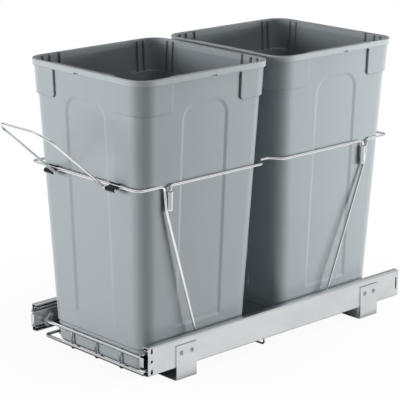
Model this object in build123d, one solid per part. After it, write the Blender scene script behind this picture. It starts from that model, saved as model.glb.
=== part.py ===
"""Double-bin pull-out waste unit for a kitchen base cabinet.

Two tapered bins stand in a wire tray that runs on a pair of full-extension ball
slides. Four L-shaped feet carry the slides off the cabinet floor, two wire hoops
hold the bins upright and a wire bail on the front hoop is the handle.

Millimetres. +Z is up, -Y is the front with the handle, +Y the back of the
cabinet. The origin is the centre of the floor screw pattern, on the floor.
"""
import os
from math import asin, atan2, cos, degrees, radians, sin, sqrt, tan

from build123d import *

# ---------------------------------------------------------------- slides
SLIDE_LENGTH = 560.0          # outer members, front end to back end
SLIDE_HEIGHT = 45.0
SLIDE_DEPTH = 12.7            # outer face of the outer member to inner face of the inner one
WIDTH_OVER_SLIDES = 277.5
SLIDE_UNDERSIDE = 20.0        # height of the slides above the cabinet floor
OUTER_STEEL = 1.2
MIDDLE_STEEL = 1.0
INNER_STEEL = 1.0
OUTER_DEPTH = 11.2            # depth of the outer C section, over its lips
OUTER_LIP = 2.7               # lip height, measured from the outside of the flange
MIDDLE_WEB_GAP = 1.4          # outer web to middle web
MIDDLE_TIP = 11.4             # middle member's reach from the outer face
MIDDLE_LIP = 2.0
INNER_FLANGE = 7.5            # inner member's depth
INNER_LIP = 1.0
SECTION_CORNER = 2.2          # outside bend radius of the rolled sections
FRONT_REACH = 6.0             # inner members stand this far out of the outer ones
REAR_TAB_SET = 4.0            # end of the outer member to the front face of its stop tab
MEMBER_END_GAP = 2.0          # stop tab to the middle member, and middle to inner
NOSE_TAB_WIDTH = 8.0
NOSE_TAB_HEIGHT = 15.0
RACE_CLEARANCE = 0.1
OUTER_BALL = 4.6              # diameters
INNER_BALL = 4.2
OUTER_BALL_DEPTH = 6.8        # ball row, from the slide's outer face
INNER_BALL_DEPTH = 8.2
OUTER_RACE_GAP = 4.2          # outer flange to middle flange
INNER_RACE_GAP = 3.8          # middle flange to inner flange
CAGE_STEEL = 0.4
CAGE_LENGTH = 150.0
CAGE_SIDE_GAP = 0.3           # cage web to the web that it runs beside
CAGE_REACH = 3.2              # cage flange past its ball row
CAGE_END_BAND = 12.0
BALLS_PER_ROW = 5
RACE_STOP_LENGTH = 10.0
RACE_STOP_GAP = 0.5           # stop to the middle member's flange and web
SLOT_LENGTH = 8.0             # slide screw slots and hole near the front end
SLOT_WIDTH = 4.6
SLOT_RISE = 16.0
SLOT_SET = 7.0                # centre of the slots from the front end
REAR_WINDOW_LENGTH = 3.0
REAR_WINDOW_HEIGHT = 20.0

# ---------------------------------------------------------------- feet
FOOT_PITCH = 410.0            # front feet to rear feet, centre to centre
FOOT_WIDTH = 41.0
FOOT_STEEL = 2.0
FOOT_HEIGHT = 55.0
FOOT_FLANGE = 48.0            # reach of the floor flange, over the plate
FOOT_BEND = 3.0
FLOOR_HOLE = 5.0
FLOOR_HOLE_PITCH = 24.0       # two holes in each foot
FLOOR_HOLE_INSET = 10.0       # flange's free edge to the holes
RIVET_PITCH = 21.0
RIVET_SHAFT = 4.0
RIVET_HEAD = 8.0
RIVET_HEAD_RISE = 1.0
RIVET_TAIL = 5.6
RIVET_TAIL_RISE = 0.4
RIVET_PIP = 2.2               # open centre of a blind rivet

# ---------------------------------------------------------------- bins
BINS_CENTRE = -13.0           # middle of the pair along Y
BINS_GAP = 15.0               # rim to rim, between the bins
BIN_SIDE_ROOM = 10.5          # bin's body at the rim to the outer face of a slide, seen from above
BIN_HEIGHT = 451.5
BIN_DRAFT = 2.6               # degrees
BIN_CORNER = 25.5             # body corner radius
BIN_WALL = 2.2
BIN_FLOOR = 2.6
RIM_REACH = 5.7               # rim past the body, each side
RIM_DROP = 9.5
RIM_WALL = 2.5
RIM_ROUND = 1.2
RIM_SLOT_WIDTH = 10.0
RIM_SLOT_RISE = 2.4
RIM_SLOT_SET = 9.0            # slot from the middle of each side
PAD_PROUD = 3.3               # raised corner pads under the rim
PAD_DROP = 44.0               # foot of a pad below the rim's lower edge
PAD_START = 68.0              # edge of a pad from the middle of the side
PAD_ROUND = 6.0               # lower corners of a pad
PANEL_WIDTH = 93.0            # recessed panel in each side
PANEL_TOP = 408.0             # panel's top and bottom edges, above the bin's base
PANEL_BOTTOM = 61.0
PANEL_DEPTH = 1.8
PANEL_ARCH = 28.0
PANEL_SLOPE = 5.0             # width of the slope round a panel
PAD_EDGE = 1.0
PAD_RIB_SETS = (19.0, 32.4)   # edge of a pad to the two stacking ribs behind it
PAD_RIB = 2.0
PLINTH_HEIGHT = 36.5          # foot of the bin is stepped in below this height
PLINTH_STEP = 1.8
BASE_ROUND = 9.0

# ---------------------------------------------------------------- wire tray
TRAY_WIRE = 5.0
FLOOR_WIRE = 3.5
WELD_SINK = 0.3               # how far welded wires sink into each other
TRAY_RAIL_Z = 39.0            # front and rear top wires
TRAY_BIN_GAP = 1.4            # floor wires' uprights to the bins' plinths
LOOP_SIDE_GAP = 4.2           # loop to the inner members, room for the cross wire's ends
LOOP_Z = 15.0
LOOP_CORNER = 8.0
FLOOR_WIRE_PITCH = 57.5
FLOOR_WIRE_DROP = 7.0         # floor wires run this far below the loop
FLOOR_WIRE_BEND = 4.0
UPRIGHT_OVERRUN = 2.0         # uprights end this far above the top wires' centres
CROSS_WIRE_Y = -24.0
CROSS_WIRE_BEND = 5.0
RAIL_RETURN = 9.0             # top wires turn back and down onto the links
RAIL_FALL = 8.0
RAIL_BEND = 4.0
LINK_STEEL = 2.0
EYE = 11.0                    # width of the links and of the wires' flattened ends
LINK_RUN = 9.0                # link's weld end to its screw, along Y
LINK_RISE = 9.0

# ---------------------------------------------------------------- hoops
HOOP_WIRE = 4.4
HOOP_Z = 300.0
HOOP_GAP = 1.0                # hoops to the bins' sides
HOOP_FRONT_GAP = 7.0          # front hoop to the front bin, where the clips need room
HOOP_REAR_GAP = 4.0           # rear hoop to the back of the rear bin
HOOP_CORNER = 11.0
HOOP_BEND = 8.0               # bends at the top of the legs
KNEE_BEND = 30.0
KNEE_DROP = 38.0              # bend in the legs below the hoops
FRONT_LEG_SET = 49.5          # front of the hoop to where its sides turn down
FRONT_KNEE_SET = 53.5         # and to the legs' knees and feet
FRONT_FOOT_SET = 119.0
REAR_LEG_SET = 49.5           # the same from the back of the rear hoop
REAR_KNEE_SET = 55.5
REAR_FOOT_SET = 144.0
SOCKET_BORE = 5.4
SOCKET_WALL = 1.4
SOCKET_LENGTH = 30.5
SOCKET_DROP = 9.0             # top of the sockets below the hoops
SOCKET_OUTSET = 2.0           # sockets stand out from the hoops' plane to clear the bins
SOCKET_COLLAR = 0.7
SOCKET_COLLAR_HEIGHT = 3.0
SIDE_WIRE_BEND = 7.0
SIDE_WIRE_END_GAP = 2.0       # wire end to the foot of the socket's bore
DIP_INSET = 21.0              # side wires dip in between the bins
DIP_LEAD = 24.0               # middle of the dip to where it starts
DIP_SLOPE_RUN = 15.0
DIP_BEND = 7.0

# ---------------------------------------------------------------- handle and clips
HANDLE_WIRE = 4.0
HANDLE_HALF_WIDTH = 56.5
HANDLE_LENGTH = 146.0
HANDLE_ANGLE = 41.0           # degrees above the horizontal, as it stands
HANDLE_CORNER = 27.0
HANDLE_END_BEND = 5.0
PIVOT_FORWARD = 7.5           # handle's pivot from the front hoop wire
PIVOT_DROP = 4.3
CLIP_LENGTH = 19.0
CLIP_WALL = 1.6
CLIP_MOUTH = 70.0             # degrees of each jaw that stay open
CLIP_SIDE_GAP = 0.6           # clip to the bend of the handle's arm
PIN_OVERRUN = 1.0             # pin end past the clip
PIN_CLEARANCE = 0.1
CLIP_MOUTH_PIN = -45.0        # direction that each jaw opens in, from +Y
CLIP_MOUTH_WIRE = 150.0

# ---------------------------------------------------------------- screws
SCREW_SHAFT = 3.8
SCREW_HOLE = 4.2
SCREW_HEAD = 8.0
SCREW_HEAD_RISE = 2.4
SCREW_REACH = 3.0             # shaft past the inner member's web
SCREW_RECESS = 1.2
EYE_TO_WIRE = 5.5             # round wire starts this far from its screw
FLAT_LENGTH = 15.0            # flattened end runs this far from its screw
FLAT_SET = 0.2                # round wire to the inner member's face

# ---------------------------------------------------------------- worked out
HALF_LENGTH = SLIDE_LENGTH / 2
OUTER_FACE = WIDTH_OVER_SLIDES / 2
INNER_FACE = OUTER_FACE - SLIDE_DEPTH
SLIDE_MID_Z = SLIDE_UNDERSIDE + SLIDE_HEIGHT / 2
OUTER_RACE = SLIDE_HEIGHT / 2 - OUTER_STEEL
MIDDLE_HALF = OUTER_RACE - OUTER_RACE_GAP
MIDDLE_RACE = MIDDLE_HALF - MIDDLE_STEEL
INNER_HALF = MIDDLE_RACE - INNER_RACE_GAP
MIDDLE_WEB = OUTER_STEEL + MIDDLE_WEB_GAP
OUTER_ROW = OUTER_RACE - OUTER_RACE_GAP / 2
INNER_ROW = MIDDLE_RACE - INNER_RACE_GAP / 2
REAR_TAB_Y = HALF_LENGTH - REAR_TAB_SET
MIDDLE_END = REAR_TAB_Y - MEMBER_END_GAP
INNER_END = MIDDLE_END - MEMBER_END_GAP
FRONT_END = -HALF_LENGTH

LOOP_HALF_WIDTH = INNER_FACE - LOOP_SIDE_GAP - TRAY_WIRE / 2
FLOOR_WIRE_Z = LOOP_Z - FLOOR_WIRE_DROP
BIN_BASE_Z = FLOOR_WIRE_Z + FLOOR_WIRE / 2
BIN_BODY_TOP = WIDTH_OVER_SLIDES - 2 * BIN_SIDE_ROOM
BIN_PITCH = BIN_BODY_TOP + 2 * RIM_REACH + BINS_GAP
BIN_SLOPE = tan(radians(BIN_DRAFT))


def body_half(height):
    """Half the width of a bin's body at a height above the bin's base."""
    return BIN_BODY_TOP / 2 - (BIN_HEIGHT - height) * BIN_SLOPE


FRONT_BIN_Y = BINS_CENTRE - BIN_PITCH / 2
REAR_BIN_Y = BINS_CENTRE + BIN_PITCH / 2
PLINTH_HALF = body_half(PLINTH_HEIGHT) - PLINTH_STEP
UPRIGHT_SET = BIN_PITCH / 2 + PLINTH_HALF + TRAY_BIN_GAP + FLOOR_WIRE / 2
RAIL_SET = UPRIGHT_SET + FLOOR_WIRE / 2 + TRAY_WIRE / 2 - WELD_SINK
HOOP_SIDE = body_half(HOOP_Z - BIN_BASE_Z) + HOOP_GAP + HOOP_WIRE / 2
HOOP_FRONT_Y = FRONT_BIN_Y - HOOP_SIDE + HOOP_GAP - HOOP_FRONT_GAP
HOOP_REAR_Y = REAR_BIN_Y + HOOP_SIDE - HOOP_GAP + HOOP_REAR_GAP
FRONT_LEG_TOP = HOOP_FRONT_Y + FRONT_LEG_SET
FRONT_KNEE = HOOP_FRONT_Y + FRONT_KNEE_SET
FRONT_LEG_FOOT = HOOP_FRONT_Y + FRONT_FOOT_SET
REAR_LEG_TOP = HOOP_REAR_Y - REAR_LEG_SET
REAR_KNEE = HOOP_REAR_Y - REAR_KNEE_SET
REAR_LEG_FOOT = HOOP_REAR_Y - REAR_FOOT_SET
KNEE_Z = HOOP_Z - KNEE_DROP
SOCKET_TOP_Z = HOOP_Z - SOCKET_DROP
LEG_FOOT_X = INNER_FACE - HOOP_WIRE / 2 - FLAT_SET
SOCKET_X = HOOP_SIDE + SOCKET_OUTSET
SOCKET_RADIUS = SOCKET_BORE / 2 + SOCKET_WALL
SOCKET_SET = sqrt((HOOP_WIRE / 2 + SOCKET_RADIUS - WELD_SINK) ** 2 - SOCKET_OUTSET ** 2)
SOCKET_FRONT_Y = FRONT_KNEE + SOCKET_SET
SOCKET_REAR_Y = REAR_KNEE - SOCKET_SET
PIVOT_Y = HOOP_FRONT_Y - PIVOT_FORWARD
PIVOT_Z = HOOP_Z - PIVOT_DROP
CLIP_CENTRE_X = HANDLE_HALF_WIDTH + HANDLE_END_BEND + CLIP_SIDE_GAP + CLIP_LENGTH / 2
PIN_END_X = CLIP_CENTRE_X + CLIP_LENGTH / 2 + PIN_OVERRUN
CROSS_END_X = INNER_FACE - FLOOR_WIRE / 2 - FLAT_SET
CROSS_WIRE_Z = FLOOR_WIRE_Z - FLOOR_WIRE + WELD_SINK


# ---------------------------------------------------------------- helpers
def span_box(x0, x1, y0, y1, z0, z1):
    """A block between two corners."""
    block = Box(x1 - x0, y1 - y0, z1 - z0)
    return Pos((x0 + x1) / 2, (y0 + y1) / 2, (z0 + z1) / 2) * block


def rod(diameter, start, end):
    """A straight round bar between two points."""
    axis = Vector(*end) - Vector(*start)
    seat = Plane(origin=start, z_dir=axis)
    return extrude(seat * Circle(diameter / 2), axis.length)


def bent_wire(diameter, points, radii):
    """A round wire along straight runs joined by bends, one radius for each corner."""
    path = FilletPolyline(*points, radius=radii)
    seat = Plane(origin=path @ 0, z_dir=path % 0)
    return sweep(seat * Circle(diameter / 2), path=path)


def heading(start, end):
    """Direction from one flat point to another, in degrees from the first axis."""
    return degrees(atan2(end[1] - start[1], end[0] - start[0]))


def mirrored(shape):
    """The left-hand twin of a right-hand piece."""
    return mirror(shape, about=Plane.YZ)


def slide_profile(sketch, front, back):
    """Extrude a slide section along Y: sketch x is depth from the outer face, y is height."""
    seat = Plane(origin=(OUTER_FACE, front, SLIDE_MID_Z), x_dir=(-1, 0, 0), z_dir=(0, 1, 0))
    return extrude(seat * sketch, back - front)


def depth_rect(near, far, low, high):
    """A rectangle of a slide section, between two depths and two heights."""
    return Pos((near + far) / 2, (low + high) / 2) * Rectangle(far - near, high - low)


def both_rows(depth, height, ball):
    """Race grooves for the two ball rows of a slide."""
    groove = Circle(ball / 2 + RACE_CLEARANCE)
    return Pos(depth, height) * groove + Pos(depth, -height) * groove


def save(name, shape):
    """Write one named piece to its own file."""
    export_step(shape, f"parts/{name}.step")


# ---------------------------------------------------------------- slides
def outer_member():
    """Right-hand outer member: lipped C section with screw slots and a lanced rear stop."""
    half = SLIDE_HEIGHT / 2
    section = depth_rect(0, OUTER_DEPTH, -half, half)
    section = fillet(section.vertices(), SECTION_CORNER)
    section -= depth_rect(OUTER_STEEL, OUTER_DEPTH - OUTER_STEEL, -OUTER_RACE, OUTER_RACE)
    mouth = half - OUTER_LIP
    section -= depth_rect(OUTER_DEPTH - OUTER_STEEL, OUTER_DEPTH, -mouth, mouth)
    section -= both_rows(OUTER_BALL_DEPTH, OUTER_ROW, OUTER_BALL)
    member = slide_profile(section, FRONT_END, HALF_LENGTH)

    web = Plane(origin=(OUTER_FACE - OUTER_STEEL, 0, SLIDE_MID_Z), x_dir=(0, 1, 0), z_dir=(1, 0, 0))
    front_row = FRONT_END + SLOT_SET
    slot = Rot(0, 0, 90) * SlotOverall(SLOT_LENGTH, SLOT_WIDTH)
    cuts = Pos(front_row, SLOT_RISE) * slot + Pos(front_row, -SLOT_RISE) * slot
    cuts += Pos(front_row, 0) * Circle(SLOT_WIDTH / 2)
    window_y = REAR_TAB_Y - REAR_WINDOW_LENGTH / 2
    cuts += Pos(window_y, 0) * Rectangle(REAR_WINDOW_LENGTH, REAR_WINDOW_HEIGHT)
    for foot_y in (-FOOT_PITCH / 2, FOOT_PITCH / 2):
        for side in (-1, 1):
            cuts += Pos(foot_y + side * RIVET_PITCH / 2, 0) * Circle(RIVET_SHAFT / 2)
    member -= extrude(web * cuts, OUTER_STEEL)

    half_tab = REAR_WINDOW_HEIGHT / 2
    member += span_box(OUTER_FACE - OUTER_DEPTH + OUTER_STEEL, OUTER_FACE - OUTER_STEEL / 2,
                       REAR_TAB_Y, REAR_TAB_Y + OUTER_STEEL,
                       SLIDE_MID_Z - half_tab, SLIDE_MID_Z + half_tab)
    return member


def middle_member():
    """Right-hand middle member: C section that runs between the two ball rows."""
    section = depth_rect(MIDDLE_WEB, MIDDLE_TIP, -MIDDLE_HALF, MIDDLE_HALF)
    section = fillet(section.vertices(), SECTION_CORNER / 2)
    section -= depth_rect(MIDDLE_WEB + MIDDLE_STEEL, MIDDLE_TIP - MIDDLE_STEEL, -MIDDLE_RACE, MIDDLE_RACE)
    mouth = MIDDLE_HALF - MIDDLE_LIP
    section -= depth_rect(MIDDLE_TIP - MIDDLE_STEEL, MIDDLE_TIP, -mouth, mouth)
    section -= both_rows(OUTER_BALL_DEPTH, OUTER_ROW, OUTER_BALL)
    section -= both_rows(INNER_BALL_DEPTH, INNER_ROW, INNER_BALL)
    return slide_profile(section, FRONT_END + MEMBER_END_GAP, MIDDLE_END)


def inner_member(screw_places):
    """Right-hand inner member, open towards the cabinet side, with a folded nose tab."""
    near = SLIDE_DEPTH - INNER_FLANGE
    inside = INNER_HALF - INNER_STEEL
    front = FRONT_END - FRONT_REACH
    section = depth_rect(near, SLIDE_DEPTH, -INNER_HALF, INNER_HALF)
    corners = section.vertices().sort_by(Axis.X)[-2:]
    section = fillet(corners, SECTION_CORNER / 2)
    section -= depth_rect(near, SLIDE_DEPTH - INNER_STEEL, -inside, inside)
    lip_top = INNER_HALF + INNER_LIP
    for low, high in ((inside, lip_top), (-lip_top, -inside)):
        section += depth_rect(near, near + INNER_STEEL, low, high)
    section -= both_rows(INNER_BALL_DEPTH, INNER_ROW, INNER_BALL)
    member = slide_profile(section, front, INNER_END)
    half_nose = NOSE_TAB_HEIGHT / 2
    member += span_box(INNER_FACE, INNER_FACE + NOSE_TAB_WIDTH, front, front + INNER_STEEL,
                       SLIDE_MID_Z - half_nose, SLIDE_MID_Z + half_nose)
    for y, z in screw_places:
        member -= rod(SCREW_HOLE, (INNER_FACE - 1, y, z), (INNER_FACE + INNER_STEEL + 1, y, z))
    return member


def ball_places(depth, row):
    """Centres of the balls in one cage, right-hand side."""
    pitch = (CAGE_LENGTH - 2 * CAGE_END_BAND) / (BALLS_PER_ROW - 1)
    first = -CAGE_LENGTH / 2 + CAGE_END_BAND
    for side in (-1, 1):
        for index in range(BALLS_PER_ROW):
            yield (OUTER_FACE - depth, first + index * pitch, SLIDE_MID_Z + side * row)


def ball_cage(web, depth, row, ball):
    """Right-hand ball cage: a thin channel with a hole for each ball and a window in its web."""
    far = depth + CAGE_REACH
    half = row + CAGE_STEEL / 2
    section = depth_rect(web, far, -half, half)
    section -= depth_rect(web + CAGE_STEEL, far, -half + CAGE_STEEL, half - CAGE_STEEL)
    cage = slide_profile(section, -CAGE_LENGTH / 2, CAGE_LENGTH / 2)
    open_half = row - CAGE_END_BAND / 2
    open_length = CAGE_LENGTH / 2 - CAGE_END_BAND
    cage -= span_box(OUTER_FACE - web - CAGE_STEEL, OUTER_FACE - web, -open_length, open_length,
                     SLIDE_MID_Z - open_half, SLIDE_MID_Z + open_half)
    for x, y, z in ball_places(depth, row):
        cage -= rod(ball + 2 * RACE_CLEARANCE, (x, y, z - CAGE_STEEL), (x, y, z + CAGE_STEEL))
    return cage


def ball_set(depth, row, ball):
    """The balls of one cage."""
    return Compound([Pos(*place) * Sphere(ball / 2) for place in ball_places(depth, row)])


def race_stops():
    """Plastic plugs that close the front ends of the outer races, right-hand side."""
    near = MIDDLE_WEB + RACE_STOP_GAP
    far = OUTER_DEPTH - OUTER_STEEL
    low = MIDDLE_HALF + RACE_STOP_GAP
    plugs = []
    for side in (-1, 1):
        heights = sorted((side * low, side * OUTER_RACE))
        plug = slide_profile(depth_rect(near, far, *heights), FRONT_END, FRONT_END + RACE_STOP_LENGTH)
        plugs.append(fillet(plug.edges().filter_by(Axis.X), 0.8))
    return Compound(plugs)


# ---------------------------------------------------------------- feet
def foot(centre_y):
    """Right-hand foot: folded plate, riveted to the slide and screwed to the floor."""
    outside = OUTER_FACE + FOOT_STEEL
    free_edge = outside - FOOT_FLANGE
    outline = Polyline((OUTER_FACE, FOOT_HEIGHT), (outside, FOOT_HEIGHT), (outside, 0), (free_edge, 0),
                       (free_edge, FOOT_STEEL), (OUTER_FACE, FOOT_STEEL), close=True)
    seat = Plane(origin=(0, centre_y + FOOT_WIDTH / 2, 0), x_dir=(1, 0, 0), z_dir=(0, -1, 0))
    plate = extrude(seat * make_face(outline), FOOT_WIDTH)
    folds = plate.edges().filter_by(Axis.Y)
    plate = fillet(folds.filter_by_position(Axis.X, outside, outside).sort_by(Axis.Z)[0], FOOT_BEND)
    inner_fold = plate.edges().filter_by(Axis.Y).filter_by_position(Axis.Z, FOOT_STEEL, FOOT_STEEL)
    plate = fillet(inner_fold.sort_by(Axis.X)[-1], FOOT_BEND - FOOT_STEEL)
    for side in (-1, 1):
        y = centre_y + side * RIVET_PITCH / 2
        plate -= rod(RIVET_SHAFT, (OUTER_FACE - 1, y, SLIDE_MID_Z), (outside + 1, y, SLIDE_MID_Z))
        x = free_edge + FLOOR_HOLE_INSET
        y = centre_y + side * FLOOR_HOLE_PITCH / 2
        plate -= rod(FLOOR_HOLE, (x, y, -1), (x, y, FOOT_STEEL + 1))
    return plate


def rivet(y):
    """Right-hand blind rivet: domed head outside, open centre, flat tail inside the slide."""
    outside = OUTER_FACE + FOOT_STEEL
    tail = OUTER_FACE - OUTER_STEEL - RIVET_TAIL_RISE
    head_r = RIVET_HEAD / 2
    profile = make_face([
        Line((0, tail), (RIVET_TAIL / 2, tail)),
        Line((RIVET_TAIL / 2, tail), (RIVET_TAIL / 2, tail + RIVET_TAIL_RISE)),
        Line((RIVET_TAIL / 2, tail + RIVET_TAIL_RISE), (RIVET_SHAFT / 2, tail + RIVET_TAIL_RISE)),
        Line((RIVET_SHAFT / 2, tail + RIVET_TAIL_RISE), (RIVET_SHAFT / 2, outside)),
        Line((RIVET_SHAFT / 2, outside), (head_r, outside)),
        ThreePointArc((head_r, outside), (head_r * 0.75, outside + RIVET_HEAD_RISE * 0.75),
                      (RIVET_PIP / 2, outside + RIVET_HEAD_RISE)),
        Line((RIVET_PIP / 2, outside + RIVET_HEAD_RISE), (RIVET_PIP / 2, outside)),
        Line((RIVET_PIP / 2, outside), (0, outside)),
        Line((0, outside), (0, tail)),
    ])
    turned = revolve(profile, Axis.Y)
    return Pos(0, y, SLIDE_MID_Z) * Rot(0, 0, -90) * turned


# ---------------------------------------------------------------- bins
def body_block(low, high, grow):
    """Drafted rounded block between two heights of a bin, its sides set out by grow."""
    half = body_half(high) + grow
    block = extrude(Pos(0, 0, high) * Rectangle(2 * half, 2 * half), low - high, taper=BIN_DRAFT)
    corners = [edge for edge in block.edges() if edge.bounding_box().size.Z > (high - low) / 2]
    return fillet(corners, BIN_CORNER + grow)


def four_ways(shape):
    """The same piece on each of a bin's four sides."""
    pieces = [Rot(0, 0, 90 * turn) * shape for turn in range(4)]
    return pieces[0] + pieces[1:]


def panel_cut(inset):
    """Sunken arched panel of the front side, its rim sloping in from the drafted face."""
    middle = (PANEL_TOP + PANEL_BOTTOM) / 2
    outward = (0, -cos(radians(BIN_DRAFT)), -sin(radians(BIN_DRAFT)))
    face = Plane(origin=(0, -body_half(middle), middle), x_dir=(1, 0, 0), z_dir=outward)
    outline = Rectangle(PANEL_WIDTH - 2 * PANEL_SLOPE, PANEL_TOP - PANEL_BOTTOM - 2 * PANEL_SLOPE)
    outline = fillet(outline.vertices().sort_by(Axis.Y)[-2:], PANEL_ARCH - PANEL_SLOPE)
    spread = degrees(atan2(PANEL_SLOPE, PANEL_DEPTH))
    return extrude(face.offset(-inset - PANEL_DEPTH) * outline, 1.5 * PANEL_DEPTH, taper=-spread)


def pad_region(grow):
    """One corner of a bin where the raised pad stands, its edges moved out by grow."""
    reach = BIN_BODY_TOP
    edge = PAD_START - grow
    bottom = BIN_HEIGHT - RIM_DROP - PAD_DROP - grow
    height = BIN_HEIGHT - bottom
    sketch = Pos((edge + reach) / 2, bottom + height / 2) * Rectangle(reach - edge, height)
    low_corner = sketch.vertices().sort_by(Axis.Y)[:2].sort_by(Axis.X)[0]
    sketch = fillet(low_corner, PAD_ROUND + grow)
    along_y = extrude(Plane(origin=(0, 0, 0), x_dir=(1, 0, 0), z_dir=(0, -1, 0)) * sketch, -reach)
    along_x = extrude(Plane(origin=(0, 0, 0), x_dir=(0, 1, 0), z_dir=(1, 0, 0)) * sketch, reach)
    return along_y & along_x


def stacking_ribs():
    """Upright ribs in the hollow backs of the corner pads, two at each end of every side."""
    low = BIN_HEIGHT - RIM_DROP - PAD_DROP - PAD_ROUND
    ribs = []
    for near in (PAD_START + rib_set for rib_set in PAD_RIB_SETS):
        rib = span_box(near, near + PAD_RIB, -BIN_BODY_TOP, 0, low, BIN_HEIGHT - RIM_WALL)
        ribs += [rib, mirrored(rib)]
    return four_ways(ribs[0] + ribs[1:])


def bin_form(inset):
    """The bin's outside as a solid form, or its inside when inset is the wall."""
    floor = BIN_FLOOR if inset else 0
    step = PLINTH_HEIGHT - inset
    upper = body_block(step, BIN_HEIGHT, -inset) - four_ways(panel_cut(inset))
    plinth = body_block(floor, step, -inset - PLINTH_STEP)
    base_edges = plinth.edges().filter_by_position(Axis.Z, floor - 0.01, floor + 0.01)
    plinth = fillet(base_edges, BASE_ROUND - inset)
    pad_low = BIN_HEIGHT - RIM_DROP - PAD_DROP - 1
    pads = body_block(pad_low, BIN_HEIGHT, PAD_PROUD - inset) & four_ways(pad_region(-inset))
    if inset:
        pads -= stacking_ribs()
    return upper + plinth + pads


def rim_ring():
    """Turned-down rim with a small slot in the edge of each side."""
    half = body_half(BIN_HEIGHT) + RIM_REACH
    radius = BIN_CORNER + RIM_REACH
    low = BIN_HEIGHT - RIM_DROP
    ring = Pos(0, 0, low) * extrude(RectangleRounded(2 * half, 2 * half, radius), RIM_DROP)
    inner = RectangleRounded(2 * (half - RIM_WALL), 2 * (half - RIM_WALL), radius - RIM_WALL)
    ring -= Pos(0, 0, low) * extrude(inner, RIM_DROP - RIM_WALL)
    top_edges = ring.edges().filter_by_position(Axis.Z, BIN_HEIGHT - 0.01, BIN_HEIGHT + 0.01)
    ring = fillet(top_edges, RIM_ROUND)
    slot = span_box(-RIM_SLOT_SET - RIM_SLOT_WIDTH / 2, -RIM_SLOT_SET + RIM_SLOT_WIDTH / 2,
                    -half - 1, -half + RIM_WALL + 0.2, low - 1, low + RIM_SLOT_RISE)
    other = mirror(slot, about=Plane.YZ)
    ring -= slot
    ring -= Rot(0, 0, 180) * slot
    ring -= Rot(0, 0, 90) * other
    ring -= Rot(0, 0, -90) * other
    return ring


def is_pad_edge(edge):
    """Whether an edge of the bin's outside runs round the proud face of a corner pad."""
    low = BIN_HEIGHT - RIM_DROP - PAD_DROP
    centre = edge.center()
    proud = max(abs(centre.X), abs(centre.Y)) > body_half(centre.Z) + PAD_PROUD - 0.1
    box = edge.bounding_box()
    return proud and box.min.Z < BIN_HEIGHT - 1 and box.min.Z > low - 2


def waste_bin():
    """One moulded bin, its floor at the origin."""
    outside = bin_form(0)
    pad_edges = [edge for edge in outside.edges() if is_pad_edge(edge)]
    outside = fillet(pad_edges, PAD_EDGE)
    return outside + rim_ring() - bin_form(BIN_WALL)


# ---------------------------------------------------------------- tray
def link_places():
    """Weld end and screw end of each right-hand link, as (y, z) pairs."""
    places = []
    for end in (-1, 1):
        rail_y = BINS_CENTRE + end * RAIL_SET
        weld = (rail_y - end * RAIL_RETURN, TRAY_RAIL_Z - RAIL_FALL)
        screw = (weld[0] - end * LINK_RUN, weld[1] + LINK_RISE)
        places.append((weld, screw))
    return places


def link_plate(weld, screw):
    """Right-hand link: flat steel between a top wire's end and its screw."""
    seat = Plane(origin=(INNER_FACE - LINK_STEEL, 0, 0), x_dir=(0, 1, 0), z_dir=(1, 0, 0))
    outline = SlotCenterToCenter((Vector(*screw) - Vector(*weld)).length, EYE)
    turn = heading(weld, screw)
    middle = ((weld[0] + screw[0]) / 2, (weld[1] + screw[1]) / 2)
    sketch = Pos(*middle) * Rot(0, 0, turn) * outline
    sketch -= Pos(*screw) * Circle(SCREW_HOLE / 2)
    return extrude(seat * sketch, LINK_STEEL)


def teardrop(big, small, run):
    """Round ends of two radii joined by their tangents, along +X from the big one."""
    lean = asin((big - small) / run)
    flank = [(big * sin(lean), big * cos(lean)), (run + small * sin(lean), small * cos(lean))]
    sides = make_face(Polyline(*flank, *[(x, -y) for x, y in reversed(flank)], close=True))
    return sides + Circle(big) + Pos(run, 0) * Circle(small)


def wire_start(screw, toward):
    """Where the round wire begins, on its way from its screw, as (y, z)."""
    start = Vector(*screw) + (Vector(*toward) - Vector(*screw)).normalized() * EYE_TO_WIRE
    return (start.X, start.Y)


def flat_end(screw, toward, wire):
    """Right-hand flattened wire end: an eye round its screw that narrows to the round wire."""
    seat = Plane(origin=(INNER_FACE - LINK_STEEL, 0, 0), x_dir=(0, 1, 0), z_dir=(1, 0, 0))
    outline = teardrop(EYE / 2, wire / 2, FLAT_LENGTH) - Circle(SCREW_HOLE / 2)
    return extrude(seat * Pos(*screw) * Rot(0, 0, heading(screw, toward)) * outline, LINK_STEEL)


def top_wire(end):
    """Front or rear top wire of the tray, its ends turned back onto the links."""
    rail_y = BINS_CENTRE + end * RAIL_SET
    weld = (rail_y - end * RAIL_RETURN, TRAY_RAIL_Z - RAIL_FALL)
    corner_x = INNER_FACE - LINK_STEEL - TRAY_WIRE / 2 + WELD_SINK
    half = [(corner_x, weld[0], weld[1]), (corner_x, rail_y, TRAY_RAIL_Z)]
    points = half + [(-x, y, z) for x, y, z in reversed(half)]
    return bent_wire(TRAY_WIRE, points, [RAIL_BEND] * 2)


def bottom_loop():
    """Closed wire round the foot of the tray."""
    outline = RectangleRounded(2 * LOOP_HALF_WIDTH, 2 * RAIL_SET, LOOP_CORNER)
    path = Pos(0, BINS_CENTRE, LOOP_Z) * outline.wire()
    seat = Plane(origin=path @ 0, z_dir=path % 0)
    return sweep(seat * Circle(TRAY_WIRE / 2), path=path)


def floor_wire(x):
    """Lengthwise wire under the bins, hooked under the loop and up to both top wires."""
    front = BINS_CENTRE - UPRIGHT_SET
    back = BINS_CENTRE + UPRIGHT_SET
    top = TRAY_RAIL_Z + UPRIGHT_OVERRUN
    points = [(x, front, top), (x, front, FLOOR_WIRE_Z), (x, back, FLOOR_WIRE_Z), (x, back, top)]
    return bent_wire(FLOOR_WIRE, points, [FLOOR_WIRE_BEND] * 2)


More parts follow.
